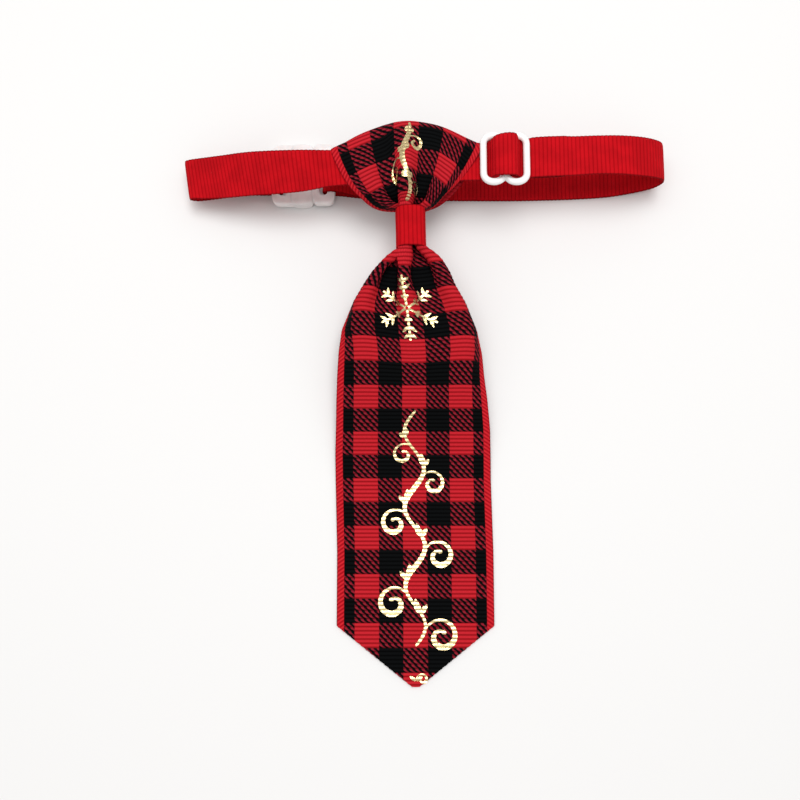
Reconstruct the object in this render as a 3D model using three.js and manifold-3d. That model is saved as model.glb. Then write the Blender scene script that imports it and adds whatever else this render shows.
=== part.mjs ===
// Pet necktie collar: a small printed ribbon necktie on an adjustable ribbon collar, lying flat.
// Units are millimetres and +Z is up. The surface it lies on is z = 0.
// The pieces are laid out with x = 0 on the tie's middle line and y = 0 at the lower edge of the
// neck wrap. The tail runs toward -Y and the collar loop lies along X. The last step moves the whole
// so that the middle of its footprint is the origin.
import * as THREE from "three";
import { mergeVertices } from "three/addons/utils/BufferGeometryUtils.js";
import Module from "manifold-3d";

const wasm = await Module();
wasm.setup();

// Driving dimensions
const GAP = 0.3;
const WELD = 1e-4;

const STRAP_WIDTH = 10.2;
const STRAP_THICK = 1.0;
const STRAP_STEPS_PER_ROW = 3;
const STRAP_THICKNESS_STEP = 0.2;
const BAR_FOLD_STEPS = 3;

const TIE_THICK = 1.0;
const TIE_COLUMNS = 22;
const TAIL_LENGTH = 105;
const TAIL_SHOULDER_Y = -89.2;
const TAIL_TIP_X = 0.5;
const TAIL_POINT_CUTS = [0, 0.35, 0.7, 0.97];
const PLEATS = 3;

const WRAP_X = -0.7;
const WRAP_Z = 12.5;
const WRAP_WIDTH = 7.2;
const WRAP_HEIGHT = 6.6;
const WRAP_LENGTH = 9.8;
const WRAP_THICK = 1.0;
const WRAP_CORNER = 1.6;
const WRAP_CORNER_STEPS = 4;

const SLIDER_X = 21.88;
const SLIDER_Y = 20.7;
const SLIDER_Z = 16.4;
const SLIDER_ROD_R = 0.85;
const SLIDER_HALF_WIDTH = 5.18;
const SLIDER_SIDE_HALF = 3.6;
const SLIDER_PINCH_HALF = 4.4;
const SLIDER_LOBE_DEPTH = 2.0;
const SLIDER_LOBE_STEPS = 6;
const SLIDER_FOLD_Y = 21.2;
const SLIDER_FOLD_WIDTH = 8.0;
const ROD_SIDES = 8;

const CLASP_Y = 22.6;
const CLASP_HALF_LENGTH = 7.75;
const CLASP_LEFT_X = -36.4;
const CLASP_RIGHT_X = -19.9;
const CLASP_BODY_LEFT_X = -31.7;
const CLASP_BODY_RIGHT_X = -25.0;
const CLASP_BODY_HALF_LENGTH = 8.2;
const CLASP_BODY_BULGE = 1.4;
const CLASP_BODY_HEIGHT = 4.0;
const CLASP_LOOP_Z = 1.6;
const CLASP_LOOP_HEIGHT = 2.0;
const CLASP_CORNER = 3.6;
const CLASP_CURVE_STEPS = 5;
const CLASP_LOOP_ROOT = 0.5;
const CLASP_BAR = 2.0;
const CLASP_SLOT = 2.2;
const CLASP_SLOT_HALF_LENGTH = 6.1;
const CLASP_FOLD_Y = 22.9;
const CLASP_FOLD_CORNER = 0.2;
const TONGUE_HALF_LENGTH = 5.0;
const TONGUE_DEPTH = 5.0;
const TONGUE_HEIGHT = 1.6;
const TONGUE_ROOT = 0.4;
const MOUTH_RUN_OUT = 1.0;

// The tail, from the wrap to the shoulders of its point. Each row gives the place along the tail,
// the ribbon's two edges, the height of its middle, how far the edges droop below that, and the
// height of the gathers.
const TAIL_ROWS = [
  { y: 9.3, left: -2.95, right: 1.55, lift: 13.7, droop: 0.0, gather: 0.0 },
  { y: 4.6, left: -2.95, right: 1.55, lift: 13.7, droop: 0.0, gather: 0.1 },
  { y: -0.3, left: -2.95, right: 1.55, lift: 13.4, droop: 0.1, gather: 0.2 },
  { y: -0.9, left: -4.8, right: 3.9, lift: 13.1, droop: 0.4, gather: 0.6 },
  { y: -1.5, left: -5.6, right: 5.2, lift: 12.9, droop: 0.6, gather: 0.9 },
  { y: -2.9, left: -7.2, right: 6.7, lift: 12.7, droop: 0.9, gather: 1.2 },
  { y: -5.8, left: -9.8, right: 8.5, lift: 12.5, droop: 1.6, gather: 1.3 },
  { y: -8.8, left: -11.8, right: 9.8, lift: 12.3, droop: 2.1, gather: 1.2 },
  { y: -13.0, left: -14.3, right: 12.3, lift: 11.9, droop: 2.5, gather: 0.9 },
  { y: -18.7, left: -16.7, right: 14.5, lift: 11.0, droop: 2.5, gather: 0.6 },
  { y: -24.3, left: -18.0, right: 16.0, lift: 9.6, droop: 2.0, gather: 0.3 },
  { y: -30.0, left: -18.6, right: 16.9, lift: 7.8, droop: 1.4, gather: 0.1 },
  { y: -36.0, left: -18.9, right: 17.8, lift: 5.5, droop: 0.8, gather: 0.0 },
  { y: -42.7, left: -19.0, right: 18.7, lift: 3.2, droop: 0.3, gather: 0.0 },
  { y: -49.0, left: -19.1, right: 18.9, lift: 1.4, droop: 0.1, gather: 0.0 },
  { y: -56.0, left: -19.0, right: 19.0, lift: 0.5, droop: 0.0, gather: 0.0 },
  { y: -73.0, left: -18.6, right: 19.5, lift: 0.5, droop: 0.0, gather: 0.0 },
];

// The knot: the same ribbon fans out over the strap to a fold line, an arc through three points,
// and comes back behind the strap.
const KNOT_NECK_Y = 10.2;
const KNOT_FOLD_LEFT = { x: -19.4, y: 24.6 };
const KNOT_FOLD_TOP = { x: -0.2, y: 30.3 };
const KNOT_FOLD_RIGHT = { x: 15.4, y: 26.8 };
const KNOT_FRONT_NECK_Z = 13.7;
const KNOT_FRONT_FOLD_Z = 17.0;
const KNOT_DOME = 1.5;
const KNOT_BACK_NECK_Z = 11.3;
const KNOT_BACK_FOLD_Z = 12.8;
const KNOT_DOME_EDGE_LOSS = 0.5;
const KNOT_SPREAD_POWER = 0.5;
const KNOT_GATHER = 0.6;
const KNOT_GATHER_RISE = 6;
const KNOT_STEP_POWER = 1.5;
const KNOT_FACE_STEPS = 9;
const KNOT_FOLD_STEPS = 5;

// The strap, from the clasp's left bar round the left fold, over the top, through the slider, round
// the right bend and back along the surface to the clasp's right bar. Each row gives the middle of
// the ribbon, its width, how far it is turned in plan and how far it leans (degrees, a turned
// ribbon's far edge goes toward -X and a leaning ribbon's far edge is the higher), and its layers.
const STRAP_ROWS = [
  { x: -37.3, y: 22.9, z: 2.6, width: 10.2, turn: 0, lean: 0, layers: 1.6 },
  { x: -41.0, y: 22.8, z: 2.0, width: 10.2, turn: 2, lean: 0, layers: 1.6 },
  { x: -45.0, y: 22.3, z: 2.3, width: 10.2, turn: 4, lean: 0, layers: 1.6 },
  { x: -45.1, y: 22.3, z: 2.3, width: 10.2, turn: 4, lean: 0, layers: 1.0 },
  { x: -51.0, y: 21.2, z: 3.4, width: 10.2, turn: 7, lean: 0, layers: 1.0 },
  { x: -55.5, y: 20.4, z: 4.2, width: 10.2, turn: 9, lean: 0, layers: 1.0 },
  { x: -57.0, y: 20.2, z: 5.2, width: 10.2, turn: 9, lean: 0, layers: 1.0 },
  { x: -56.0, y: 20.2, z: 6.3, width: 10.2, turn: 9, lean: 0, layers: 1.0 },
  { x: -52.0, y: 20.0, z: 7.9, width: 10.2, turn: 9, lean: 10, layers: 1.0 },
  { x: -46.4, y: 19.4, z: 10.7, width: 10.2, turn: 9, lean: 16, layers: 1.0 },
  { x: -40.0, y: 18.7, z: 13.3, width: 10.2, turn: 8, lean: 17, layers: 1.0 },
  { x: -34.0, y: 18.3, z: 14.9, width: 10.0, turn: 7, lean: 17, layers: 1.0 },
  { x: -27.0, y: 18.2, z: 15.5, width: 9.6, turn: 6, lean: 14, layers: 1.0 },
  { x: -20.0, y: 18.5, z: 14.9, width: 8.6, turn: 6, lean: 4, layers: 1.0 },
  { x: -8.0, y: 19.6, z: 14.8, width: 8.4, turn: 5, lean: 0, layers: 1.0 },
  { x: 5.0, y: 20.5, z: 14.8, width: 8.4, turn: 3, lean: 0, layers: 1.0 },
  { x: 13.0, y: 20.8, z: 14.9, width: 8.8, turn: 1, lean: 0, layers: 1.0 },
  { x: 16.7, y: 20.8, z: 14.7, width: 9.0, turn: 0, lean: 0, layers: 1.0 },
  { x: 17.95, y: 20.8, z: 15.2, width: 8.0, turn: 0, lean: 0, layers: 1.0 },
  { x: 18.5, y: 20.8, z: 16.4, width: 8.0, turn: 0, lean: 0, layers: 1.0 },
  { x: 19.4, y: 20.9, z: 18.1, width: 9.4, turn: 0, lean: 0, layers: 1.0 },
  { x: 21.88, y: 21.1, z: 18.95, width: 10.2, turn: 0, lean: 0, layers: 1.0 },
  { x: 24.36, y: 20.9, z: 18.1, width: 9.4, turn: 0, lean: 0, layers: 1.0 },
  { x: 25.26, y: 20.8, z: 16.4, width: 8.0, turn: 0, lean: 0, layers: 1.0 },
  { x: 25.81, y: 20.8, z: 15.2, width: 8.0, turn: 0, lean: 0, layers: 1.0 },
  { x: 27.06, y: 21.2, z: 14.7, width: 9.4, turn: 0, lean: 0, layers: 1.0 },
  { x: 28.6, y: 21.8, z: 14.5, width: 10.2, turn: 0, lean: 0, layers: 1.6 },
  { x: 36.4, y: 22.2, z: 14.6, width: 10.2, turn: 0, lean: 0, layers: 1.6 },
  { x: 36.5, y: 22.2, z: 14.6, width: 10.2, turn: 0, lean: 0, layers: 1.0 },
  { x: 44.0, y: 22.6, z: 14.8, width: 10.2, turn: 0, lean: -4, layers: 1.0 },
  { x: 50.0, y: 22.9, z: 14.6, width: 10.2, turn: 0, lean: -3, layers: 1.0 },
  { x: 55.2, y: 23.2, z: 13.5, width: 10.2, turn: 0, lean: 0, layers: 1.0 },
  { x: 59.2, y: 23.5, z: 11.6, width: 10.2, turn: 0, lean: 0, layers: 1.0 },
  { x: 62.0, y: 23.7, z: 9.1, width: 10.2, turn: 0, lean: 0, layers: 1.0 },
  { x: 62.7, y: 23.8, z: 6.4, width: 10.2, turn: 0, lean: 0, layers: 1.0 },
  { x: 61.2, y: 23.7, z: 3.2, width: 10.2, turn: 0, lean: 0, layers: 1.0 },
  { x: 57.0, y: 23.4, z: 1.2, width: 10.2, turn: 0, lean: 0, layers: 1.0 },
  { x: 50.0, y: 22.8, z: 0.5, width: 10.2, turn: 0, lean: 0, layers: 1.0 },
  { x: 31.0, y: 22.1, z: 0.5, width: 10.2, turn: 0, lean: 0, layers: 1.0 },
  { x: 5.0, y: 21.9, z: 0.5, width: 10.2, turn: 0, lean: 0, layers: 1.0 },
  { x: -8.0, y: 21.9, z: 0.5, width: 10.2, turn: 0, lean: 0, layers: 1.0 },
  { x: -10.0, y: 22.0, z: 0.6, width: 10.2, turn: 0, lean: 0, layers: 1.0 },
  { x: -10.1, y: 22.0, z: 0.8, width: 10.2, turn: 0, lean: 0, layers: 1.6 },
  { x: -14.5, y: 22.4, z: 1.4, width: 10.2, turn: 0, lean: 0, layers: 1.6 },
  { x: -19.0, y: 22.9, z: 2.6, width: 10.2, turn: 0, lean: 0, layers: 1.6 },
];

// Colours
const ribbonRed = new THREE.MeshStandardMaterial({ color: 0xc3101c, roughness: 0.75, metalness: 0 });
const printedRibbon = new THREE.MeshStandardMaterial({ color: 0x8e1018, roughness: 0.75, metalness: 0 });
const whitePlastic = new THREE.MeshStandardMaterial({ color: 0xf4f3f0, roughness: 0.25, metalness: 0 });
const milkyPlastic = new THREE.MeshStandardMaterial({ color: 0xe6e0dd, roughness: 0.3, metalness: 0 });

// Geometry helpers

function geometryFrom(points, triangles) {
  const geometry = new THREE.BufferGeometry();
  const places = points.flatMap((p) => [p.x, p.y, p.z]);
  geometry.setAttribute("position", new THREE.Float32BufferAttribute(places, 3));
  geometry.setIndex(triangles);
  return geometry;
}

// A closed solid from an outer and an inner grid of points with equal rows and columns. With
// closed true the last row joins the first, otherwise both ends are capped.
function slabFrom(outer, inner, closed = false) {
  const rows = outer.length;
  const columns = outer[0].length;
  const points = [...outer.flat(), ...inner.flat()];
  const onOuter = (i, j) => (i % rows) * columns + j;
  const onInner = (i, j) => rows * columns + onOuter(i, j);
  const triangles = [];
  const quad = (a, b, c, d) => triangles.push(a, b, c, a, c, d);
  const lastRow = closed ? rows : rows - 1;
  for (let i = 0; i < lastRow; i++) {
    for (let j = 0; j < columns - 1; j++) {
      quad(onOuter(i, j), onOuter(i + 1, j), onOuter(i + 1, j + 1), onOuter(i, j + 1));
      quad(onInner(i, j), onInner(i, j + 1), onInner(i + 1, j + 1), onInner(i + 1, j));
    }
    quad(onOuter(i, 0), onInner(i, 0), onInner(i + 1, 0), onOuter(i + 1, 0));
    const k = columns - 1;
    quad(onOuter(i, k), onOuter(i + 1, k), onInner(i + 1, k), onInner(i, k));
  }
  if (!closed) {
    for (let j = 0; j < columns - 1; j++) {
      quad(onOuter(0, j), onOuter(0, j + 1), onInner(0, j + 1), onInner(0, j));
      const i = rows - 1;
      quad(onOuter(i, j), onInner(i, j), onInner(i, j + 1), onOuter(i, j + 1));
    }
  }
  return facingOut(points, triangles);
}

// Turns every triangle round if the closed surface they make is inside out.
function facingOut(points, triangles) {
  let volume = 0;
  for (let t = 0; t < triangles.length; t += 3) {
    const [a, b, c] = [points[triangles[t]], points[triangles[t + 1]], points[triangles[t + 2]]];
    volume += a.dot(new THREE.Vector3().crossVectors(b, c));
  }
  if (volume < 0) {
    for (let t = 0; t < triangles.length; t += 3) {
      [triangles[t], triangles[t + 1]] = [triangles[t + 1], triangles[t]];
    }
  }
  return geometryFrom(points, triangles);
}

function solidOf(geometry) {
  const bare = geometry.clone();
  bare.deleteAttribute("normal");
  bare.deleteAttribute("uv");
  const merged = mergeVertices(bare, WELD);
  return new wasm.Manifold(
    new wasm.Mesh({
      numProp: 3,
      vertProperties: merged.getAttribute("position").array,
      triVerts: new Uint32Array(merged.getIndex().array),
    }),
  );
}

function geometryOf(solid) {
  const mesh = solid.getMesh();
  const geometry = new THREE.BufferGeometry();
  geometry.setAttribute("position", new THREE.BufferAttribute(mesh.vertProperties, 3));
  geometry.setIndex(new THREE.BufferAttribute(mesh.triVerts, 1));
  return geometry;
}

function namedMesh(name, geometry, material) {
  geometry.computeVertexNormals();
  const mesh = new THREE.Mesh(geometry, material);
  mesh.name = name;
  return mesh;
}

const mix = THREE.MathUtils.lerp;

// Collar strap

// The stations of the strap: each has its middle, the direction across it and its half sizes.
function strapStations() {
  const curve = new THREE.CatmullRomCurve3(
    STRAP_ROWS.map((row) => new THREE.Vector3(row.x, row.y, row.z)),
    false,
    "centripetal",
  );
  const last = STRAP_ROWS.length - 1;
  const stations = [];
  for (let k = 0; k <= last * STRAP_STEPS_PER_ROW; k++) {
    const place = k / STRAP_STEPS_PER_ROW;
    const i = Math.min(Math.floor(place), last - 1);
    const [from, to] = [STRAP_ROWS[i], STRAP_ROWS[i + 1]];
    const between = place - i;
    const isStep = Math.abs(from.x - to.x) < STRAP_THICKNESS_STEP;
    if (isStep && between > 0 && between < 1) continue;
    const column = (key) => mix(from[key], to[key], between);
    const turn = THREE.MathUtils.degToRad(column("turn"));
    const lean = THREE.MathUtils.degToRad(column("lean"));
    const halfThick = (STRAP_THICK * column("layers")) / 2;
    const middle = curve.getPoint(place / last);
    middle.z = Math.max(middle.z, halfThick);
    stations.push({
      middle,
      tangent: curve.getTangent(place / last),
      across: new THREE.Vector3(
        -Math.sin(turn) * Math.cos(lean),
        Math.cos(turn) * Math.cos(lean),
        Math.sin(lean),
      ),
      halfWidth: column("width") / 2,
      halfThick,
    });
  }
  return stations;
}

function strapBand() {
  const outer = [];
  const inner = [];
  for (const { middle, tangent, across, halfWidth, halfThick } of strapStations()) {
    const normal = new THREE.Vector3().crossVectors(across, tangent).normalize();
    const edge = (side, face) =>
      middle
        .clone()
        .addScaledVector(across, side * halfWidth)
        .addScaledVector(normal, face * halfThick);
    outer.push([edge(-1, 1), edge(1, 1)]);
    inner.push([edge(-1, -1), edge(1, -1)]);
  }
  return slabFrom(outer, inner);
}

// The fold of the strap round a bar that lies along Y: a closed band round a rounded rectangle.
function barFold({ x, y, z, halfX, halfZ, width, corner }) {
  const ring = (grow) =>
    roundedRing(halfX + grow, halfZ + grow, corner + grow, BAR_FOLD_STEPS);
  const lay = (points) =>
    points.map(([a, b]) => [
      new THREE.Vector3(x + a, y - width / 2, z + b),
      new THREE.Vector3(x + a, y + width / 2, z + b),
    ]);
  return slabFrom(lay(ring(GAP + STRAP_THICK)), lay(ring(GAP)), true);
}

// The points of a rounded rectangle's outline, anticlockwise, with a few steps round each corner.
function roundedRing(halfX, halfZ, radius, steps) {
  const r = Math.min(radius, halfX, halfZ);
  const points = [];
  const corners = [
    { x: 1, z: -1, start: -Math.PI / 2 },
    { x: 1, z: 1, start: 0 },
    { x: -1, z: 1, start: Math.PI / 2 },
    { x: -1, z: -1, start: Math.PI },
  ];
  for (const corner of corners) {
    for (let k = 0; k <= steps; k++) {
      const angle = corner.start + (Math.PI / 2) * (k / steps);
      points.push([
        corner.x * (halfX - r) + r * Math.cos(angle),
        corner.z * (halfZ - r) + r * Math.sin(angle),
      ]);
    }
  }
  return points;
}

function collarStrap() {
  const claspBar = {
    y: CLASP_FOLD_Y,
    z: CLASP_LOOP_Z + CLASP_LOOP_HEIGHT / 2,
    halfX: CLASP_BAR / 2,
    halfZ: CLASP_LOOP_HEIGHT / 2,
    width: STRAP_WIDTH,
    corner: CLASP_FOLD_CORNER,
  };
  const leftFold = barFold({ ...claspBar, x: CLASP_LEFT_X + CLASP_BAR / 2 });
  const rightFold = barFold({ ...claspBar, x: CLASP_RIGHT_X - CLASP_BAR / 2 });
  const sliderFold = barFold({
    x: SLIDER_X,
    y: SLIDER_FOLD_Y,
    z: SLIDER_Z,
    halfX: SLIDER_ROD_R,
    halfZ: SLIDER_ROD_R,
    width: SLIDER_FOLD_WIDTH,
    corner: SLIDER_ROD_R,
  });
  const folds = [leftFold, rightFold, sliderFold];
  return geometryOf(folds.reduce((whole, fold) => whole.add(solidOf(fold)), solidOf(strapBand())));
}

// Slider: a round rod bent into a figure eight, with a straight middle bar

// The middle line of the rod: two lobes along the near end, then the same turned half round.
function sliderOutline() {
  const end = [];
  for (const lobe of [0, 1]) {
    for (let k = lobe; k <= SLIDER_LOBE_STEPS; k++) {
      const turn = (Math.PI * k) / SLIDER_LOBE_STEPS;
      const along = (1 - Math.cos(turn)) / 2;
      const rim = lobe === 0 ? k / SLIDER_LOBE_STEPS : 1 - k / SLIDER_LOBE_STEPS;
      end.push([
        -SLIDER_HALF_WIDTH + SLIDER_HALF_WIDTH * (lobe + along),
        -mix(SLIDER_SIDE_HALF, SLIDER_PINCH_HALF, rim) - SLIDER_LOBE_DEPTH * Math.sin(turn),
      ]);
    }
  }
  return [...end, ...end.map(([x, y]) => [-x, -y])];
}

function slider() {
  const outline = sliderOutline();
  const middle = ([x, y]) => new THREE.Vector3(SLIDER_X + x, SLIDER_Y + y, SLIDER_Z);
  const count = outline.length;
  const points = [];
  const triangles = [];
  outline.forEach((place, i) => {
    const ahead = middle(outline[(i + 1) % count]);
    const behind = middle(outline[(i + count - 1) % count]);
    const along = ahead.sub(behind).normalize();
    const side = new THREE.Vector3(along.y, -along.x, 0);
    for (let k = 0; k < ROD_SIDES; k++) {
      const angle = (2 * Math.PI * (k + 0.5)) / ROD_SIDES;
      points.push(
        middle(place)
          .addScaledVector(side, SLIDER_ROD_R * Math.cos(angle))
          .add(new THREE.Vector3(0, 0, SLIDER_ROD_R * Math.sin(angle))),
      );
      const a = i * ROD_SIDES + k;
      const b = i * ROD_SIDES + ((k + 1) % ROD_SIDES);
      const c = ((i + 1) % count) * ROD_SIDES + ((k + 1) % ROD_SIDES);
      const d = ((i + 1) % count) * ROD_SIDES + k;
      triangles.push(a, b, c, a, c, d);
    }
  });
  const middleBar = new THREE.CylinderGeometry(
    SLIDER_ROD_R,
    SLIDER_ROD_R,
    2 * SLIDER_PINCH_HALF,
    ROD_SIDES,
  );
  middleBar.translate(SLIDER_X, SLIDER_Y, SLIDER_Z);
  return geometryOf(solidOf(facingOut(points, triangles)).add(solidOf(middleBar)));
}

// Clasp: a socket half and a plug half, each with a slotted loop for the strap

function extruded(shape, z, height) {
  const geometry = new THREE.ExtrudeGeometry(shape, {
    depth: height,
    bevelEnabled: false,
    curveSegments: CLASP_CURVE_STEPS,
  });
  geometry.translate(0, 0, z);
  return geometry;
}

// A block from x = fromX to toX, centred on the clasp's middle line in Y.
function block(fromX, toX, halfLength, z, height) {
  const geometry = new THREE.BoxGeometry(toX - fromX, 2 * halfLength, height);
  geometry.translate((fromX + toX) / 2, CLASP_Y, z + height / 2);
  return geometry;
}

// A loop plate whose outer side, at outerX, has round corners, and whose inner side joins the body.
function claspLoop(outerX, innerX) {
  const side = Math.sign(innerX - outerX);
  const [low, high] = [CLASP_Y - CLASP_HALF_LENGTH, CLASP_Y + CLASP_HALF_LENGTH];
  const plate = new THREE.Shape();
  plate.moveTo(innerX, low);
  plate.lineTo(outerX + side * CLASP_CORNER, low);
  plate.quadraticCurveTo(outerX, low, outerX, low + CLASP_CORNER);
  plate.lineTo(outerX, high - CLASP_CORNER);
  plate.quadraticCurveTo(outerX, high, outerX + side * CLASP_CORNER, high);
  plate.lineTo(innerX, high);
  plate.closePath();
  const slotMiddle = outerX + side * (CLASP_BAR + CLASP_SLOT / 2);
  const radius = CLASP_SLOT / 2;
  const slot = new THREE.Path();
  const reach = CLASP_SLOT_HALF_LENGTH - radius;
  slot.absarc(slotMiddle, CLASP_Y + reach, radius, 0, Math.PI, false);
  slot.absarc(slotMiddle, CLASP_Y - reach, radius, Math.PI, 2 * Math.PI, false);
  slot.closePath();
  plate.holes.push(slot);
  return extruded(plate, CLASP_LOOP_Z, CLASP_LOOP_HEIGHT);
}

// The socket's block: straight sides, with ends that bulge as shallow arcs.
function claspBody() {
  const middle = (CLASP_BODY_LEFT_X + CLASP_BODY_RIGHT_X) / 2;
  const straight = CLASP_BODY_HALF_LENGTH - CLASP_BODY_BULGE / 2;
  const [low, high] = [CLASP_Y - straight, CLASP_Y + straight];
  const body = new THREE.Shape();
  body.moveTo(CLASP_BODY_LEFT_X, low);
  body.quadraticCurveTo(middle, low - CLASP_BODY_BULGE, CLASP_BODY_RIGHT_X, low);
  body.lineTo(CLASP_BODY_RIGHT_X, high);
  body.quadraticCurveTo(middle, high + CLASP_BODY_BULGE, CLASP_BODY_LEFT_X, high);
  body.closePath();
  return extruded(body, 0, CLASP_BODY_HEIGHT);
}

const tongueZ = CLASP_LOOP_Z + (CLASP_LOOP_HEIGHT - TONGUE_HEIGHT) / 2;

function claspSocket() {
  const mouth = block(
    CLASP_BODY_RIGHT_X - TONGUE_DEPTH - GAP,
    CLASP_BODY_RIGHT_X + MOUTH_RUN_OUT,
    TONGUE_HALF_LENGTH + GAP,
    tongueZ - GAP,
    TONGUE_HEIGHT + 2 * GAP,
  );
  const loop = claspLoop(CLASP_LEFT_X, CLASP_BODY_LEFT_X + CLASP_LOOP_ROOT);
  return geometryOf(solidOf(claspBody()).add(solidOf(loop)).subtract(solidOf(mouth)));
}

function claspPlug() {
  const innerX = CLASP_BODY_RIGHT_X + GAP;
  const loop = claspLoop(CLASP_RIGHT_X, innerX);
  const tongue = block(
    CLASP_BODY_RIGHT_X - TONGUE_DEPTH,
    innerX + TONGUE_ROOT,
    TONGUE_HALF_LENGTH,
    tongueZ,
    TONGUE_HEIGHT,
  );
  return geometryOf(solidOf(loop).add(solidOf(tongue)));
}

// Tie ribbon

// Places across the ribbon, from -1 at its left edge to 1 at its right.
const columnsAcross = Array.from(
  { length: TIE_COLUMNS + 1 },
  (_, j) => (2 * j) / TIE_COLUMNS - 1,
);

// The gathers across the ribbon: a wave of cosines, one crest for each pleat.
const pleat = (u) => Math.cos(PLEATS * Math.PI * u);

// One line of the ribbon's middle surface, with the direction of its thickness.
function tailLine(row) {
  return columnsAcross.map((u) => ({
    point: new THREE.Vector3(
      mix(row.left, row.right, (u + 1) / 2),
      row.y,
      row.lift - row.droop * u * u - (row.gather * (1 - pleat(u))) / 2,
    ),
    out: new THREE.Vector3(0, 0, 1),
  }));
}

// The pointed end: straight cuts from the shoulders to the tip.
function pointLines() {
  const shoulder = TAIL_ROWS.at(-1);
  return TAIL_POINT_CUTS.map((cut) =>
    tailLine({
      y: mix(TAIL_SHOULDER_Y, -TAIL_LENGTH, cut),
      left: mix(shoulder.left, TAIL_TIP_X, cut),
      right: mix(shoulder.right, TAIL_TIP_X, cut),
      lift: shoulder.lift,
      droop: 0,
      gather: 0,
    }),
  );
}

// The circle through three points, for the knot's fold line.
function circleThrough(a, b, c) {
  const [abx, aby, acx, acy] = [b.x - a.x, b.y - a.y, c.x - a.x, c.y - a.y];
  const [ab, ac] = [abx ** 2 + aby ** 2, acx ** 2 + acy ** 2];
  const d = 2 * (abx * acy - aby * acx);
  const x = (acy * ab - aby * ac) / d;
  const y = (abx * ac - acx * ab) / d;
  return { x: a.x + x, y: a.y + y, r: Math.hypot(x, y) };
}

function knotFoldPoint(u) {
  const circle = circleThrough(KNOT_FOLD_LEFT, KNOT_FOLD_TOP, KNOT_FOLD_RIGHT);
  const angleOf = (p) => Math.atan2(p.y - circle.y, p.x - circle.x);
  const angle = mix(angleOf(KNOT_FOLD_LEFT), angleOf(KNOT_FOLD_RIGHT), (u + 1) / 2);
  return {
    x: circle.x + circle.r * Math.cos(angle),
    y: circle.y + circle.r * Math.sin(angle),
  };
}

const knotFoldRadius = (KNOT_FRONT_FOLD_Z - KNOT_BACK_FOLD_Z) / 2;
const knotNeckX = (u) => mix(TAIL_ROWS[0].left, TAIL_ROWS[0].right, (u + 1) / 2);

// One line across a face of the knot: s runs from the neck to where the fold starts, side is 1 on
// the front and -1 on the back.
function knotFaceLine(s, side) {
  const [neckZ, foldZ] =
    side > 0 ? [KNOT_FRONT_NECK_Z, KNOT_FRONT_FOLD_Z] : [KNOT_BACK_NECK_Z, KNOT_BACK_FOLD_Z];
  return columnsAcross.map((u) => {
    const fold = knotFoldPoint(u);
    const endY = fold.y - TIE_THICK / 2 - knotFoldRadius;
    const swell = KNOT_DOME * Math.sin(Math.PI * s) * (1 - KNOT_DOME_EDGE_LOSS * u * u);
    const gathers = KNOT_GATHER * (1 - s) * Math.min(1, KNOT_GATHER_RISE * s) * pleat(u);
    return {
      point: new THREE.Vector3(
        mix(knotNeckX(u), fold.x, s ** KNOT_SPREAD_POWER),
        mix(KNOT_NECK_Y, endY, s),
        mix(neckZ, foldZ, Math.sin((Math.PI / 2) * s)) + (side > 0 ? swell + gathers : 0),
      ),
      out: new THREE.Vector3(0, 0, side),
    };
  });
}

// One line of the half round between the knot's front and back, turned from the front by turn.
function knotFoldLine(turn) {
  return columnsAcross.map((u) => {
    const fold = knotFoldPoint(u);
    const out = new THREE.Vector3(0, Math.sin(turn), Math.cos(turn));
    const centre = new THREE.Vector3(
      fold.x,
      fold.y - TIE_THICK / 2 - knotFoldRadius,
      (KNOT_FRONT_FOLD_Z + KNOT_BACK_FOLD_Z) / 2,
    );
    return { point: centre.addScaledVector(out, knotFoldRadius), out };
  });
}

function tieRibbon() {
  const lines = [...pointLines().reverse(), ...TAIL_ROWS.toReversed().map(tailLine)];
  const faceSteps = Array.from(
    { length: KNOT_FACE_STEPS },
    (_, k) => (k / KNOT_FACE_STEPS) ** KNOT_STEP_POWER,
  );
  lines.push(...faceSteps.map((s) => knotFaceLine(s, 1)));
  for (let k = 0; k <= KNOT_FOLD_STEPS; k++) {
    lines.push(knotFoldLine((Math.PI * k) / KNOT_FOLD_STEPS));
  }
  lines.push(...faceSteps.toReversed().map((s) => knotFaceLine(s, -1)));
  const backEnd = knotFaceLine(0, -1).map(({ point, out }) => ({
    point: point.clone().setY(WRAP_LENGTH / 2),
    out,
  }));
  lines.push(backEnd);
  const face = (side) =>
    lines.map((line) =>
      line.map(({ point, out }) => point.clone().addScaledVector(out, (side * TIE_THICK) / 2)),
    );
  return slabFrom(face(1), face(-1));
}

// Neck wrap: a closed band round the gathers

function neckWrap() {
  const ring = (shrink) =>
    roundedRing(
      WRAP_WIDTH / 2 - shrink,
      WRAP_HEIGHT / 2 - shrink,
      WRAP_CORNER - shrink / 2,
      WRAP_CORNER_STEPS,
    );
  const lay = (points) =>
    points.map(([x, z]) => [
      new THREE.Vector3(WRAP_X + x, 0, WRAP_Z + z),
      new THREE.Vector3(WRAP_X + x, WRAP_LENGTH, WRAP_Z + z),
    ]);
  return slabFrom(lay(ring(0)), lay(ring(WRAP_THICK)), true);
}

// Assembly, moved so that the middle of the footprint is the origin

const petNecktie = new THREE.Group();
petNecktie.add(
  namedMesh("collar_strap", collarStrap(), ribbonRed),
  namedMesh("slider", slider(), whitePlastic),
  namedMesh("clasp_socket", claspSocket(), milkyPlastic),
  namedMesh("clasp_plug", claspPlug(), milkyPlastic),
  namedMesh("tie_ribbon", tieRibbon(), printedRibbon),
  namedMesh("neck_wrap", neckWrap(), ribbonRed),
);

const footprint = new THREE.Box3().setFromObject(petNecktie);
const middle = footprint.getCenter(new THREE.Vector3());
petNecktie.position.set(-middle.x, -middle.y, -footprint.min.z);

export default petNecktie;
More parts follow.
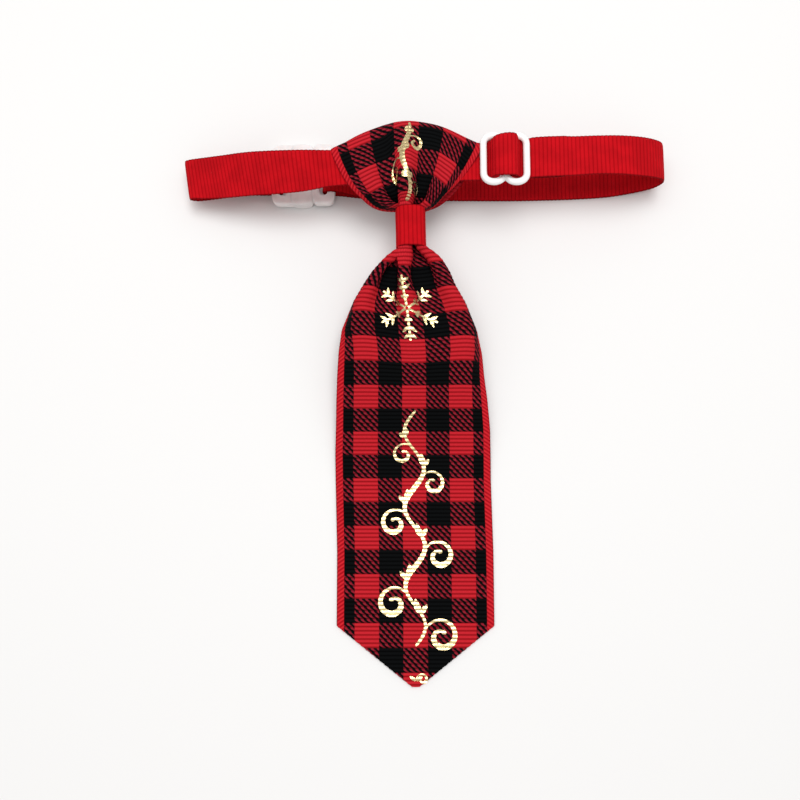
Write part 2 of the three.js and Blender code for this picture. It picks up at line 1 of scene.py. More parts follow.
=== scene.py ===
"""Pet necktie collar: a small printed ribbon necktie on an adjustable ribbon collar, lying flat.

Shapes are worked out in millimetres in the part's own layout (x = 0 on the tie's middle line,
y = 0 at the lower edge of the neck wrap, z = 0 on the table), and each mesh is written in metres in
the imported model's frame. A ribbon is a function of two lengths: u across it and v along it.
"""
import math

import bpy
import numpy as np
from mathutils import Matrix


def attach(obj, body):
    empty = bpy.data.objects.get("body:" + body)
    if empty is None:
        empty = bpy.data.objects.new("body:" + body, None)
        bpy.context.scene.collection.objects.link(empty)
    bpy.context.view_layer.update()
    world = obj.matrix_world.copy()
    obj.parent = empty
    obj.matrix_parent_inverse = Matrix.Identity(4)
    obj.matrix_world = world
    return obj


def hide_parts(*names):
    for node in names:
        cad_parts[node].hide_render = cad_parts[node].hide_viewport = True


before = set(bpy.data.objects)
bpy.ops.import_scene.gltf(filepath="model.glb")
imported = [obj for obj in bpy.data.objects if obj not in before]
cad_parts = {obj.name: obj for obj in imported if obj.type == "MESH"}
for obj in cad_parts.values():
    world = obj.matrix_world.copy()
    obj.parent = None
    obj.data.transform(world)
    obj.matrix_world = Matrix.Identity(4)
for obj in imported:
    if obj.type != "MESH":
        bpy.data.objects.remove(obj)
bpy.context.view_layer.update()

MM = 0.001
LAYOUT_SHIFT = np.array([-2.46, 36.88, 0.0])
# A ribbon's UV map holds its u and v in millimetres, divided by this
WEAVE_SCALE = 100.0

# Camera, in metres and degrees: over the middle of the tail, and tilted a little toward the knot
CAMERA_PLACE = (-0.00576, -0.02292, 0.200)
CAMERA_ELEVATION = 83.0
CAMERA_LENS = 36.06
TABLE_HALF = 3.0

# Ribbon weave, in millimetres: thickness between the ribs, height of a rib, samples along one rib,
# how far a rib's end stands out at the selvage, the pitch of the threads that cross the ribs, and
# each ribbon's rib pitch and half width. A strap ribbon's ends are trimmed by STRAP_TRIM.
RIBBON_THICK = 0.36
RIB_HEIGHT = 0.1
RIB_SAMPLES = 6
SELVAGE_TOOTH = 0.07
THREAD_PITCH = 0.3
STRAP_RIB = 1.0
TIE_RIB = 0.972
STRAP_HALF = 5.1
TIE_HALF = 19.0
STRAP_TRIM = 0.02

# The strap's middle line, from its sewn end at the clasp's left bar round the left fold, over the
# top, through the slider, round the right bend and back along the table to the clasp's right bar.
# Columns: x, y, z, width, turn in plan and lean, both in degrees.
STRAP_ROWS = [
    (-45.2, 22.4, 1.75, 10.2, 4, 0),
    (-41.0, 22.8, 1.45, 10.2, 2, 0),
    (-37.4, 22.9, 1.2, 10.2, 0, 0),
    (-35.4, 22.9, 1.2, 10.2, 0, 0),
    (-33.9, 22.9, 1.6, 10.2, 0, 0),
    (-33.3, 22.9, 2.6, 10.2, 0, 0),
    (-33.9, 22.9, 3.6, 10.2, 0, 0),
    (-35.4, 22.9, 4.0, 10.2, 0, 0),
    (-37.4, 22.9, 3.6, 10.2, 0, 0),
    (-41.0, 22.8, 2.4, 10.2, 2, 0),
    (-45.1, 22.2, 2.5, 10.2, 4, 0),
    (-51.0, 21.0, 3.4, 10.2, 7, 0),
    (-55.5, 20.2, 4.2, 10.2, 9, 0),
    (-57.0, 20.1, 5.2, 10.2, 9, 0),
    (-56.0, 20.0, 6.3, 10.2, 9, 0),
    (-52.0, 19.6, 7.9, 10.2, 9, 8),
    (-46.4, 18.9, 10.7, 10.2, 9, 14),
    (-40.0, 18.5, 13.3, 10.2, 8, 19),
    (-34.0, 18.2, 14.9, 10.1, 7, 21),
    (-27.0, 18.4, 15.5, 9.6, 6, 22),
    (-20.0, 19.3, 14.9, 8.5, 6, 12),
    (-8.0, 19.7, 14.8, 8.4, 5, 0),
    (5.0, 20.5, 14.8, 8.6, 3, 0),
    (13.0, 20.9, 14.9, 9.4, 1, 0),
    (16.7, 21.0, 14.9, 9.4, 0, 0),
    (17.95, 21.1, 15.3, 9.6, 0, 0),
    (18.7, 21.1, 16.4, 9.6, 0, 0),
    (19.6, 21.2, 18.0, 9.9, 0, 0),
    (21.88, 21.25, 18.75, 10.4, 0, 0),
    (24.16, 21.5, 18.0, 10.4, 0, 0),
    (25.06, 21.6, 16.4, 10.2, 0, 0),
    (25.81, 21.6, 15.3, 9.9, 0, 0),
    (27.06, 21.5, 14.95, 9.8, 0, 0),
    (28.6, 22.0, 14.8, 10.0, 0, 0),
    (36.4, 22.4, 14.85, 10.0, 0, 0),
    (38.5, 22.5, 14.65, 10.0, 0, -2),
    (44.0, 22.7, 14.8, 10.0, 0, -4),
    (50.0, 22.8, 14.6, 10.0, 0, -3),
    (55.2, 22.9, 13.5, 9.9, 0, 0),
    (59.2, 23.2, 11.6, 9.8, 0, 0),
    (62.0, 23.5, 9.1, 9.7, 0, 0),
    (62.7, 23.8, 6.4, 9.7, 0, 0),
    (61.2, 23.8, 3.2, 9.8, 0, 0),
    (57.0, 23.5, 1.2, 10.0, 0, 0),
    (50.0, 22.7, 0.45, 10.2, 0, 0),
    (31.0, 21.8, 0.4, 10.2, 0, 0),
    (5.0, 21.8, 0.4, 10.2, 0, 0),
    (-6.0, 21.9, 0.45, 10.2, 0, 0),
    (-10.5, 22.1, 0.95, 10.2, 0, 0),
    (-14.5, 22.4, 1.7, 10.2, 0, 0),
    (-18.3, 22.8, 3.1, 10.2, 0, 0),
    (-20.9, 22.9, 4.0, 10.2, 0, 0),
    (-22.3, 22.9, 3.6, 10.2, 0, 0),
    (-22.9, 22.9, 2.6, 10.2, 0, 0),
    (-22.3, 22.9, 1.6, 10.2, 0, 0),
    (-20.9, 22.9, 1.2, 10.2, 0, 0),
    (-18.5, 22.8, 0.95, 10.2, 0, 0),
    (-14.5, 22.5, 0.5, 10.2, 0, 0),
    (-10.2, 22.2, 0.4, 10.2, 0, 0),
]

# The sewn end round the slider's middle bar, from its cut end under the strap. Same columns.
SLIDER_TAB_ROWS = [
    (36.6, 22.6, 14.3, 10.2, 0, 0),
    (32.0, 22.3, 14.25, 10.2, 0, 0),
    (28.6, 22.1, 14.2, 10.0, 0, 0),
    (27.06, 21.6, 14.35, 9.2, 0, 0),
    (25.6, 21.3, 14.5, 8.4, 0, 0),
    (23.6, 21.2, 14.85, 7.6, 0, 0),
    (21.88, 21.1, 15.25, 7.2, 0, 0),
    (20.95, 21.1, 15.65, 7.0, 0, 0),
    (20.72, 21.1, 16.4, 6.8, 0, 0),
    (21.1, 21.1, 17.3, 6.8, 0, 0),
    (21.88, 21.1, 17.58, 6.8, 0, 0),
    (22.7, 21.1, 17.3, 6.8, 0, 0),
    (23.04, 21.1, 16.4, 6.8, 0, 0),
    (23.3, 21.1, 15.6, 7.2, 0, 0),
]

# The tail from inside the neck wrap to its tip. left and right are the outline, lift the height of
# the middle crest, middle the x of that crest, fold the steepness of the gathers in radians, sag
# how far the middle of a row lies toward the tip, and roll_left and roll_right how steeply the
# edges turn down, in degrees.
TAIL = {
    "y": [9.8, 4.9, 0.0, -0.7, -1.5, -2.9, -5.8, -8.8, -13.0, -18.7, -24.3, -30.0, -36.0, -42.7,
          -49.0, -56.0, -73.0, -106.0],
    "left": [-3.8, -3.8, -3.85, -4.6, -5.6, -7.2, -9.8, -12.0, -15.0, -17.5, -18.2, -18.6, -18.9,
             -19.1, -19.3, -19.2, -18.7, -18.6],
    "right": [2.4, 2.4, 2.5, 3.9, 5.2, 6.7, 8.5, 9.9, 12.7, 15.5, 16.85, 17.4, 18.25, 18.95, 19.15,
              19.2, 19.6, 19.6],
    "lift": [15.0, 15.0, 15.0, 14.9, 14.8, 14.5, 13.9, 13.3, 12.5, 11.3, 9.8, 7.9, 5.6, 3.3, 1.5,
             0.55, 0.42, 0.4],
    "middle": [-1.7, -1.7, -1.8, -1.95, -2.15, -2.5, -2.7, -2.3, -1.4, -0.7, -0.1, 0.2, 0.2, 0.2,
               0.2, 0.2, 0.45, 0.5],
    "fold": [1.9, 2.0, 1.95, 1.9, 1.85, 1.75, 1.5, 1.15, 0.7, 0.36, 0.2, 0.1, 0.04, 0.0, 0.0, 0.0,
             0.0, 0.0],
    "sag": [0.9, 0.9, 0.9, 0.9, 0.9, 0.9, 0.9, 1.0, 1.0, 1.1, 0.9, 0.3, 0.0, 0.0, 0.0, 0.0, 0.0,
            0.0],
    "roll_left": [95, 95, 95, 95, 94, 92, 90, 88, 82, 58, 26, 14, 8, 4, 0, 0, 0, 0],
    "roll_right": [95, 95, 95, 95, 94, 92, 90, 88, 85, 78, 62, 38, 20, 8, 3, 0, 0, 0],
}
# The height kept by the steepest gathers, how much steeper they are left of the crest, the shares
# of the half width between which an edge rolls over, and how wide the sag is
GATHER_SQUASH = 0.78
LEFT_GATHER = 1.25
ROLL_START = 0.6
ROLL_FULL = 0.84
SAG_WIDTH = 6.5
# The cut end: v where the cuts meet the selvages, half the blunt tip and the tip's y
TIP_SHOULDER_V = 14.3
TIP_HALF = 0.9
TIP_Y = -104.7
# The y below which the tail comes out of the wrap, and how far v is smoothed, both in millimetres
TAIL_SHOWN_Y = 0.6
TIE_SMOOTHING = 0.55

# The knot. Its fold line is seen from above as a curve through these x and y.
KNOT_FOLD_LINE = [
    (-20.0, 24.2),
    (-16.9, 25.6),
    (-13.0, 27.7),
    (-9.4, 29.2),
    (-4.3, 30.8),
    (-0.6, 31.1),
    (3.0, 30.6),
    (6.6, 29.7),
    (10.3, 28.1),
    (13.9, 26.3),
    (16.7, 25.1),
]
# The neck end of its faces, the height and radii of its fold, and where its back enters the wrap,
# with the gathers there and how far it goes in
KNOT_NECK_Y = 10.0
KNOT_FOLD_Z = 14.85
KNOT_FOLD_RADIUS = 2.0
KNOT_FOLD_END_RADIUS = 0.95
KNOT_BACK_NECK_X = (-3.4, 2.0)
KNOT_BACK_NECK_Z = 10.7
KNOT_BACK_GATHER = 0.35
KNOT_TUCK = 5
# Heights of the forms of its front, and the powers by which its left and right sides fan out
KNOT_NECK_DIP = 1.6
KNOT_DOME = 1.5
KNOT_CREST = 1.7
KNOT_VALLEY = 1.3
KNOT_GATHER = 0.5
KNOT_FINE_GATHER = 0.35
KNOT_SIDE_DROP = 0.9
KNOT_SPREAD_LEFT = 0.3
KNOT_SPREAD_RIGHT = 0.57
# Which v lies on top of the fold at each u: the ribbon is folded a little askew
KNOT_TOP_ROWS = [
    (-19.0, 140.2),
    (-12.0, 141.6),
    (-6.0, 141.9),
    (-2.5, 140.7),
    (2.5, 140.3),
    (6.0, 139.9),
    (12.0, 140.0),
    (19.0, 140.6),
]

# The neck wrap: its middle, the half sizes of its winding, how far its lapped end stands out, its
# turns, its width's share of the ribbon's, and how far it leans and slants for each millimetre
WRAP_CENTRE = (-0.7, 4.15, 12.5)
WRAP_HALF_X = 3.35
WRAP_HALF_Z = 3.05
WRAP_LAP = 0.5
WRAP_TURNS = 1.12
WRAP_WIDTH_SHARE = 0.965
WRAP_LEAN = 0.27
WRAP_SLANT = 0.022

# The print: a check's two sides, v in the middle of a red row, where the border starts, the pitch
# of the twill's lines, and where the foil's top and underside lie above the ribbon's face
CHECK_ACROSS = 5.87
CHECK_ALONG = 5.83
RED_ROW_V = 12.03
BORDER_START = 17.25
TWILL_PITCH = 1.47
FOIL_TOP = 0.045
FOIL_UNDERSIDE = -0.03

# The slider's middle, its rod's radius, its half width, half its length at the sides and at the
# pinches, the depth of its four lobes, and the points round a rod
SLIDER_CENTRE = (21.88, 21.05, 16.4)
SLIDER_ROD = 0.82
SLIDER_HALF_WIDTH = 5.18
SLIDER_SIDE_HALF = 3.6
SLIDER_PINCH_HALF = 3.25
SLIDER_LOBE_DEPTH = 2.35
ROD_SIDES = 20

# The clasp's middle in y, then its two loops, and its body, whose sides are shorter by a share
CLASP_Y = 22.6
CLASP_HALF_LENGTH = 8.05
CLASP_BAR = 1.9
CLASP_SLOT_WIDTH = 2.2
CLASP_SLOT_HALF_LENGTH = 5.45
CLASP_BODY_X = (-31.6, -25.2)
CLASP_BODY_HALF_LENGTH = 8.2
CLASP_BODY_HEIGHT = 3.8
CLASP_BODY_BULGE = 0.06


def smooth(edge0, edge1, value):
    """0 up to edge0, 1 past edge1, in either direction, and t^2 (3 - 2t) between them."""
    t = np.clip((value - edge0) / (edge1 - edge0), 0, 1)
    return t * t * (3 - 2 * t)


def unit(vectors):
    """Vectors divided by their lengths."""
    return vectors / np.maximum(np.linalg.norm(vectors, axis=-1, keepdims=True), 1e-9)


def mix(first, second, share):
    """A straight blend: first + (second - first) * share."""
    return first + (second - first) * share


def running_length(points):
    """The length along a line of points, or down each column of a grid, zero at its first row."""
    steps = np.linalg.norm(np.diff(points, axis=0), axis=-1)
    return np.concatenate([np.zeros_like(steps[:1]), np.cumsum(steps, axis=0)])


def curve_through(rows, step):
    """A smooth line through table rows, resampled at equal steps of its arc length.

    On each span it is the cubic whose end slopes are the distance-weighted means of the straight
    slopes on either side, over a parameter that grows by the square root of each chord.
    """
    rows = np.array(rows, float)
    chord = np.linalg.norm(np.diff(rows[:, :3], axis=0), axis=1)
    knots = np.concatenate([[0], np.cumsum(np.sqrt(chord))])
    span = np.diff(knots)[:, None]
    straight = np.diff(rows, axis=0) / span
    slope = np.empty_like(rows)
    slope[1:-1] = (straight[:-1] * span[1:] + straight[1:] * span[:-1]) / (span[1:] + span[:-1])
    slope[0], slope[-1] = straight[0], straight[-1]
    at = np.linspace(0, knots[-1], len(rows) * 60)
    i = np.clip(np.searchsorted(knots, at) - 1, 0, len(span) - 1)
    t = ((at - knots[i]) / span[i, 0])[:, None]
    points = (
        (2 * t**3 - 3 * t**2 + 1) * rows[i]
        + (t**3 - 2 * t**2 + t) * span[i] * slope[i]
        + (3 * t**2 - 2 * t**3) * rows[i + 1]
        + (t**3 - t**2) * span[i] * slope[i + 1]
    )
    along = running_length(points[:, :3])
    even = np.arange(0, along[-1], step)
    return even, np.stack([np.interp(even, along, column) for column in points.T], axis=1)


def grid_quads(rows, columns, start=0, closed_rows=False, closed_columns=False):
    """The four corners of each cell of a grid of points numbered row by row from start."""
    i = np.arange(rows if closed_rows else rows - 1)[:, None]
    j = np.arange(columns if closed_columns else columns - 1)[None, :]
    ahead, beside = (i + 1) % rows, (j + 1) % columns
    corners = [i * columns + j, ahead * columns + j, ahead * columns + beside, i * columns + beside]
    return start + np.stack(np.broadcast_arrays(*corners), axis=-1).reshape(-1, 4)


def closed_quads(rows, columns, start=0):
    """Faces of a closed thin solid between two grids: its front, its back and its rim."""
    count = rows * columns
    border = np.concatenate(
        [
            np.arange(columns),
            np.arange(1, rows) * columns + columns - 1,
            (rows - 1) * columns + np.arange(columns - 2, -1, -1),
            np.arange(rows - 2, 0, -1) * columns,
        ]
    )
    after = np.roll(border, -1)
    rim = start + np.stack([border, after, after + count, border + count], axis=1)
    return grid_quads(rows, columns, start), grid_quads(rows, columns, start + count)[:, ::-1], rim


def volume_of(points, faces):
    """Six times the volume inside the faces: triple products summed over fans of triangles."""
    first, ahead = points[faces[:, 0]], range(1, faces.shape[1] - 1)
    fans = [np.cross(points[faces[:, k]], points[faces[:, k + 1]]) for k in ahead]
    return sum(np.einsum("ij,ij->", first, fan) for fan in fans)


def make_piece(
    name, points, quads, material, uv=None, second=None, slot=None, replaced=(), caps=None
):
    """A mesh object from points in millimetres and four-cornered faces, turned to face outwards.

    uv gives u and v in millimetres at each point, second is a pair of another material and the
    faces that take it, and caps are triangles that close the ends.
    """
    volume = volume_of(points, quads) + (0 if caps is None else volume_of(points, caps))
    turn = -1 if volume < 0 else 1
    quads = quads[:, ::turn]
    faces = quads.tolist() + ([] if caps is None else caps[:, ::turn].tolist())
    mesh = bpy.data.meshes.new(name)
    mesh.from_pydata(((points + LAYOUT_SHIFT) * MM).tolist(), [], faces)
    mesh.materials.append(material)
    mesh.polygons.foreach_set("use_smooth", np.ones(len(faces), bool))
    if second is not None:
        mesh.materials.append(second[0])
        mesh.polygons.foreach_set("material_index", second[1].astype(np.int32))
    if uv is not None:
        layer = mesh.uv_layers.new(name="weave")
        layer.data.foreach_set("uv", (uv[quads.ravel()] / WEAVE_SCALE).ravel().astype(np.float32))
    mesh.set_sharp_from_angle(angle=math.radians(55))
    piece = bpy.data.objects.new(name, mesh)
    bpy.context.scene.collection.objects.link(piece)
    if replaced:
        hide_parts(*replaced)
    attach(piece, "root")
    return piece


def slab(name, front, back, u, v, material, reverse=None, **told):
    """A closed thin solid between two grids of points, with its four edges closed by strips."""
    rows, columns = front.shape[:2]
    faces, behind, rim = closed_quads(rows, columns)
    points = np.concatenate([front.reshape(-1, 3), back.reshape(-1, 3)])
    uv = np.concatenate([np.stack([u, v], axis=-1).reshape(-1, 2)] * 2)
    quads = np.concatenate([faces, behind, rim])
    second = None
    if reverse is not None:
        on_back = np.zeros(len(quads), bool)
        on_back[len(faces) : len(faces) + len(behind)] = True
        second = (reverse, on_back)
    return make_piece(name, points, quads, material, uv, second, **told)


def face_of(surface, u, v, half_width, rib, side, extra=0.0):
    """Points on one face of a ribbed ribbon, side 1 for the front and -1 for the back.

    Each point leaves the middle surface along its normal by half the thickness plus the rib height
    times |cos(pi v / rib)|, plus extra. Close to each selvage the ribs fade and the ribbon thins.
    """
    reach = 0.25
    along = surface(u, v + reach) - surface(u, v - reach)
    across = surface(u + reach, v) - surface(u - reach, v)
    normal = unit(np.cross(across, along))
    inset = half_width - np.abs(u)
    half = RIBBON_THICK / 2 * (0.45 + 0.55 * smooth(0.0, 0.3, inset))
    ribs = RIB_HEIGHT * np.abs(np.cos(math.pi * v / rib)) * (0.35 + 0.65 * smooth(0.3, 1.2, inset))
    return surface(u, v) + side * (half + ribs + extra)[..., None] * normal


def toothed(u, v, half_width, rib):
    """u with the selvages pushed out a little at each rib, as the ribs' ends show there."""
    near = smooth(0.3, 0.0, half_width - np.abs(u))
    return u + np.sign(u) * SELVAGE_TOOTH * np.abs(np.cos(math.pi * v / rib)) * near


def columns_across(half_width, inner):
    """Places across a ribbon: close together at each selvage and even between."""
    edge = half_width - np.array([0.0, 0.12, 0.35, 0.75])
    middle = np.linspace(-edge[-1], edge[-1], inner)[1:-1]
    return np.concatenate([-edge, middle, edge[::-1]])


def strip_surface(rows):
    """A narrow ribbon's middle surface through table rows, and its length."""
    v_at, line = curve_through(rows, 0.1)
    turn, lean = np.radians(line[:, 4]), np.radians(line[:, 5])
    across = np.stack(
        [-np.sin(turn) * np.cos(lean), np.cos(turn) * np.cos(lean), np.sin(lean)], axis=1
    )

    def surface(u, v):
        """The line's point at v, plus u along the line's cross direction, scaled to its width."""
        middle = np.stack([np.interp(v, v_at, line[:, k]) for k in range(3)], axis=-1)
        sideways = np.stack([np.interp(v, v_at, across[:, k]) for k in range(3)], axis=-1)
        share = np.interp(v, v_at, line[:, 3]) / (2 * STRAP_HALF)
        return middle + (u * share)[..., None] * sideways

    return surface, v_at[-1]


def strap_solid(name, surface, length, material, carrier, **told):
    """Strap ribbon laid on a surface: a closed ribbed solid. Its carrier is not used."""
    v = np.arange(STRAP_TRIM, length - STRAP_TRIM, STRAP_RIB / RIB_SAMPLES)[:, None]
    u, v = np.broadcast_arrays(columns_across(STRAP_HALF, 9)[None, :], v)
    u = toothed(u, v, STRAP_HALF, STRAP_RIB)
    front = face_of(surface, u, v, STRAP_HALF, STRAP_RIB, 1)
    back = face_of(surface, u, v, STRAP_HALF, STRAP_RIB, -1)
    piece = slab(name, front, back, u, v, material, slot="red_ribbon", **told)


# Tie ribbon

TIE_U = np.linspace(-TIE_HALF, TIE_HALF, 115)
TIE_T = TIE_U / TIE_HALF


def tail_rows(step):
    """Rows of points from the tip to the top of the neck wrap.

    Each row is the cut of an inextensible sheet: its slope angle across the ribbon is -fold times
    a wave in the middle and turns to the roll angle at the edges, and x and z are the running sums
    of its cosine and sine. The wave is sin(3 pi t) at the neck. Lower down it is a short steep
    flank on each side of the middle crest, a flat bottom and a rise to the side crests. Each half
    is then stretched to the outline.
    """
    down = np.array(TAIL["y"])[::-1]
    y = np.arange(TAIL["y"][-1], TAIL["y"][0] + 0.01, step)
    column = {key: np.interp(y, down, TAIL[key][::-1])[:, None] for key in TAIL if key != "y"}
    t = TIE_T[None, :]
    rolled = smooth(ROLL_START, ROLL_FULL, np.abs(t))
    roll = np.radians(np.where(t > 0, column["roll_right"], column["roll_left"]))
    reach = np.abs(t)
    flank = np.exp(-(((reach - 0.12) / 0.075) ** 2)) - np.exp(-(((reach - 0.52) / 0.1) ** 2))
    wave = mix(np.sin(3 * math.pi * reach), flank, smooth(-1.0, -7.0, y[:, None]))
    fold = column["fold"] * np.where(t < 0, LEFT_GATHER, 1.0)
    angle = np.sign(t) * (-fold * wave * (1 - rolled) - roll * rolled)
    step_u = TIE_U[1] - TIE_U[0]
    middle = len(TIE_U) // 2

    def summed(slopes):
        """The running sum across the ribbon by the mean of neighbours, zero at the middle."""
        means = (slopes[:, 1:] + slopes[:, :-1]) / 2 * step_u
        total = np.concatenate([np.zeros((len(slopes), 1)), np.cumsum(means, axis=1)], axis=1)
        return total - total[:, middle : middle + 1]

    x, z = summed(np.cos(angle)), summed(np.sin(angle))
    right = (column["right"] - column["middle"]) / x.max(axis=1, keepdims=True)
    left = (column["left"] - column["middle"]) / x.min(axis=1, keepdims=True)
    x = column["middle"] + x * np.where(x > 0, right, left)
    z = column["lift"] + z * mix(1.0, GATHER_SQUASH, smooth(0.8, 1.9, column["fold"]))
    sag = column["sag"] * np.exp(-((TIE_U[None, :] / SAG_WIDTH) ** 2))
    return np.stack([x, y[:, None] - sag, z], axis=-1)


def fold_line():
    """The knot's fold line at each column of the ribbon: a smooth curve, evenly spaced along."""
    rows = [(x, y, 0.0) for x, y in KNOT_FOLD_LINE]
    along, points = curve_through(rows, 0.1)
    place = (TIE_T + 1) / 2 * along[-1]
    return [np.interp(place, along, points[:, k]) for k in (0, 1)]


def knot_rows(neck, step):
    """Rows of points over the knot: its front from the neck wrap up, its fold, and its back.

    t is the place across the ribbon, from -1 to 1, and s the way up from the neck. On each face
    the ribbon fans out as a power of s. The front swells as a sine that peaks early, carries a
    narrow crest in the middle with a valley on either side, and has gathers that fade upward. The
    fold is a half round whose radius shrinks to each end.
    """
    fold_x, fold_y = fold_line()
    t = TIE_T[None, :]
    radius = mix(KNOT_FOLD_RADIUS, KNOT_FOLD_END_RADIUS, np.abs(t) ** 2.2)
    end_y = fold_y[None, :] - RIBBON_THICK / 2 - radius
    s = np.arange(0, 1, step / 24)[:, None]
    y = mix(KNOT_NECK_Y, end_y, s)
    gathers = np.cos(3 * math.pi * t) * (1 - smooth(0.75, 1.0, np.abs(t)) * 0.5)
    finer = np.cos(7.3 * math.pi * t + 0.8) * smooth(0.12, 0.3, np.abs(t))
    crest = np.exp(-(((t + 0.01) / 0.105) ** 2))
    valley = np.exp(-(((np.abs(t) - 0.26) / 0.11) ** 2))
    front = (
        KNOT_FOLD_Z + radius
        - KNOT_NECK_DIP * (1 - s) ** 2
        + KNOT_DOME * np.sin(math.pi * s**0.7) * (1 - 0.6 * t * t)
        + KNOT_CREST * crest * smooth(0.0, 0.15, s) * (1 - 0.85 * smooth(0.55, 1.0, s))
        - KNOT_VALLEY * valley * (1 - smooth(0.25, 0.95, s))
        + KNOT_GATHER * gathers * (1 - smooth(0.0, 0.8, s))
        + KNOT_FINE_GATHER * finer * (1 - smooth(0.05, 0.65, s)) * smooth(0.0, 0.1, s)
        - KNOT_SIDE_DROP * smooth(0.75, 1.0, np.abs(t)) * np.sin(math.pi * np.clip(s * 1.02, 0, 1))
    )
    spread = s ** mix(KNOT_SPREAD_LEFT, KNOT_SPREAD_RIGHT, (t + 1) / 2)
    x = mix(neck[None, :, 0], fold_x[None, :], spread)
    settled = smooth(-0.02, 0.2, s)
    front_face = np.stack([x, y, mix(neck[None, :, 2], front, settled)], axis=-1)
    turn = np.linspace(0, math.pi, 28)[:, None]
    fold = np.stack(
        [
            np.broadcast_to(fold_x[None, :], (len(turn), t.size)),
            end_y + radius * np.sin(turn),
            KNOT_FOLD_Z + radius * np.cos(turn),
        ],
        axis=-1,
    )
    back_s = s[::-1]
    back_z = mix(KNOT_BACK_NECK_Z, KNOT_FOLD_Z - radius, np.sin(math.pi / 2 * back_s))
    back = np.stack(
        [
            mix(mix(*KNOT_BACK_NECK_X, (t + 1) / 2), fold_x[None, :], np.sqrt(back_s)),
            mix(KNOT_NECK_Y, end_y, back_s),
            back_z + KNOT_BACK_GATHER * gathers * (1 - back_s) * smooth(0.0, 0.1, back_s),
        ],
        axis=-1,
    )
    tuck = np.arange(step, KNOT_TUCK, step)[:, None, None]
    inside = back[-1][None, :, :] - tuck * np.array([0.0, 1.0, 0.0])
    return np.concatenate([front_face, fold]), np.concatenate([back, inside])


def tie_grid():
    """The tie ribbon's middle surface as a dense grid, with v for each row.

    On the tail v is the distance from the tip along the middle. On the knot it is counted down
    each column from the top of the fold, where KNOT_TOP_ROWS gives it. The rows inside the wrap
    take up what is left. Each column is spaced evenly and smoothed along v with a bell curve.
    """
    step = 0.25
    tail = tail_rows(step)
    front, back = knot_rows(tail[-1], step)
    crown = tail.mean(axis=1)
    v_tail = running_length(crown)
    v_tail = v_tail - v_tail[int(np.argmin(np.abs(crown[:, 1] - TIP_Y)))]
    over = np.concatenate([front, back])
    v_over = running_length(over)
    top = np.argmax(front[:, :, 1], axis=0)
    top_v = curve_through([(u, v, 0.0) for u, v in KNOT_TOP_ROWS], 0.1)[1]
    v_over += np.interp(TIE_U, top_v[:, 0], top_v[:, 1]) - v_over[top, np.arange(len(TIE_U))]
    shown = tail[:, len(TIE_U) // 2, 1] < TAIL_SHOWN_Y
    hidden = np.arange(1, (~shown).sum() + 1)[:, None] / ((~shown).sum() + 1)
    v_hidden = mix(v_tail[shown][-1], v_over[0][None, :], hidden)
    v_shown = np.broadcast_to(v_tail[shown][:, None], (shown.sum(), len(TIE_U)))
    v = np.concatenate([v_shown, v_hidden, v_over])
    grid = np.concatenate([tail, over])
    even = np.arange(v_tail[0], v[-1].min(), step)
    rows = np.arange(len(v))
    place = np.stack([np.interp(even, column, rows) for column in v.T], axis=1)
    low = np.minimum(place.astype(int), len(v) - 2)
    column = np.arange(len(TIE_U))[None, :]
    spaced = mix(grid[low, column], grid[low + 1, column], (place - low)[..., None])
    far = (even[:, None] - even[None, :]) / TIE_SMOOTHING
    weight = np.exp(-0.5 * far**2)
    weight /= weight.sum(axis=1, keepdims=True)
    return even, (weight @ spaced.reshape(len(even), -1)).reshape(spaced.shape)


TIE_V, TIE_GRID = tie_grid()


def tie_surface(u, v):
    """The tie ribbon's middle surface, read off its grid by straight blends in u and v."""
    i = np.clip((v - TIE_V[0]) / (TIE_V[1] - TIE_V[0]), 0, len(TIE_V) - 1.001)
    j = np.clip((u + TIE_HALF) / (TIE_U[1] - TIE_U[0]), 0, len(TIE_U) - 1.001)
    row, column = i.astype(int), j.astype(int)
    along, across = (i - row)[..., None], (j - column)[..., None]
    near = mix(TIE_GRID[row, column], TIE_GRID[row, column + 1], across)
    far = mix(TIE_GRID[row + 1, column], TIE_GRID[row + 1, column + 1], across)
    return mix(near, far, along)


def tie_ribbon(printed, reverse):
    """The whole tie ribbon. Its lower end is cut to a point, so u runs between the two cuts."""
    length = TIE_V[-1]
    v = np.arange(0.0, length - 0.1, TIE_RIB / RIB_SAMPLES)[:, None]
    share = (columns_across(TIE_HALF, 39)[None, :] + TIE_HALF) / (2 * TIE_HALF)
    ragged = 0.07 * np.sin(7.1 * v) + 0.05 * np.sin(17.3 * v + 1)
    cut = 1 - np.clip(v / TIP_SHOULDER_V, 0, 1)
    left = mix(-TIE_HALF, -TIP_HALF, cut) + ragged * (cut > 0)
    right = mix(TIE_HALF, TIP_HALF, cut) - ragged * (cut > 0)
    u = mix(left, right, share)
    v = np.broadcast_to(v, u.shape)
    front = face_of(tie_surface, u, v, TIE_HALF, TIE_RIB, 1)
    back = face_of(tie_surface, u, v, TIE_HALF, TIE_RIB, -1)
    piece = slab(
        "tie_ribbon_cloth", front, back, u, v, printed, reverse,
        slot="printed_ribbon", replaced=["tie_ribbon"],
    )


# Gold print: thin strips of foil that follow the tie ribbon's ribbed front

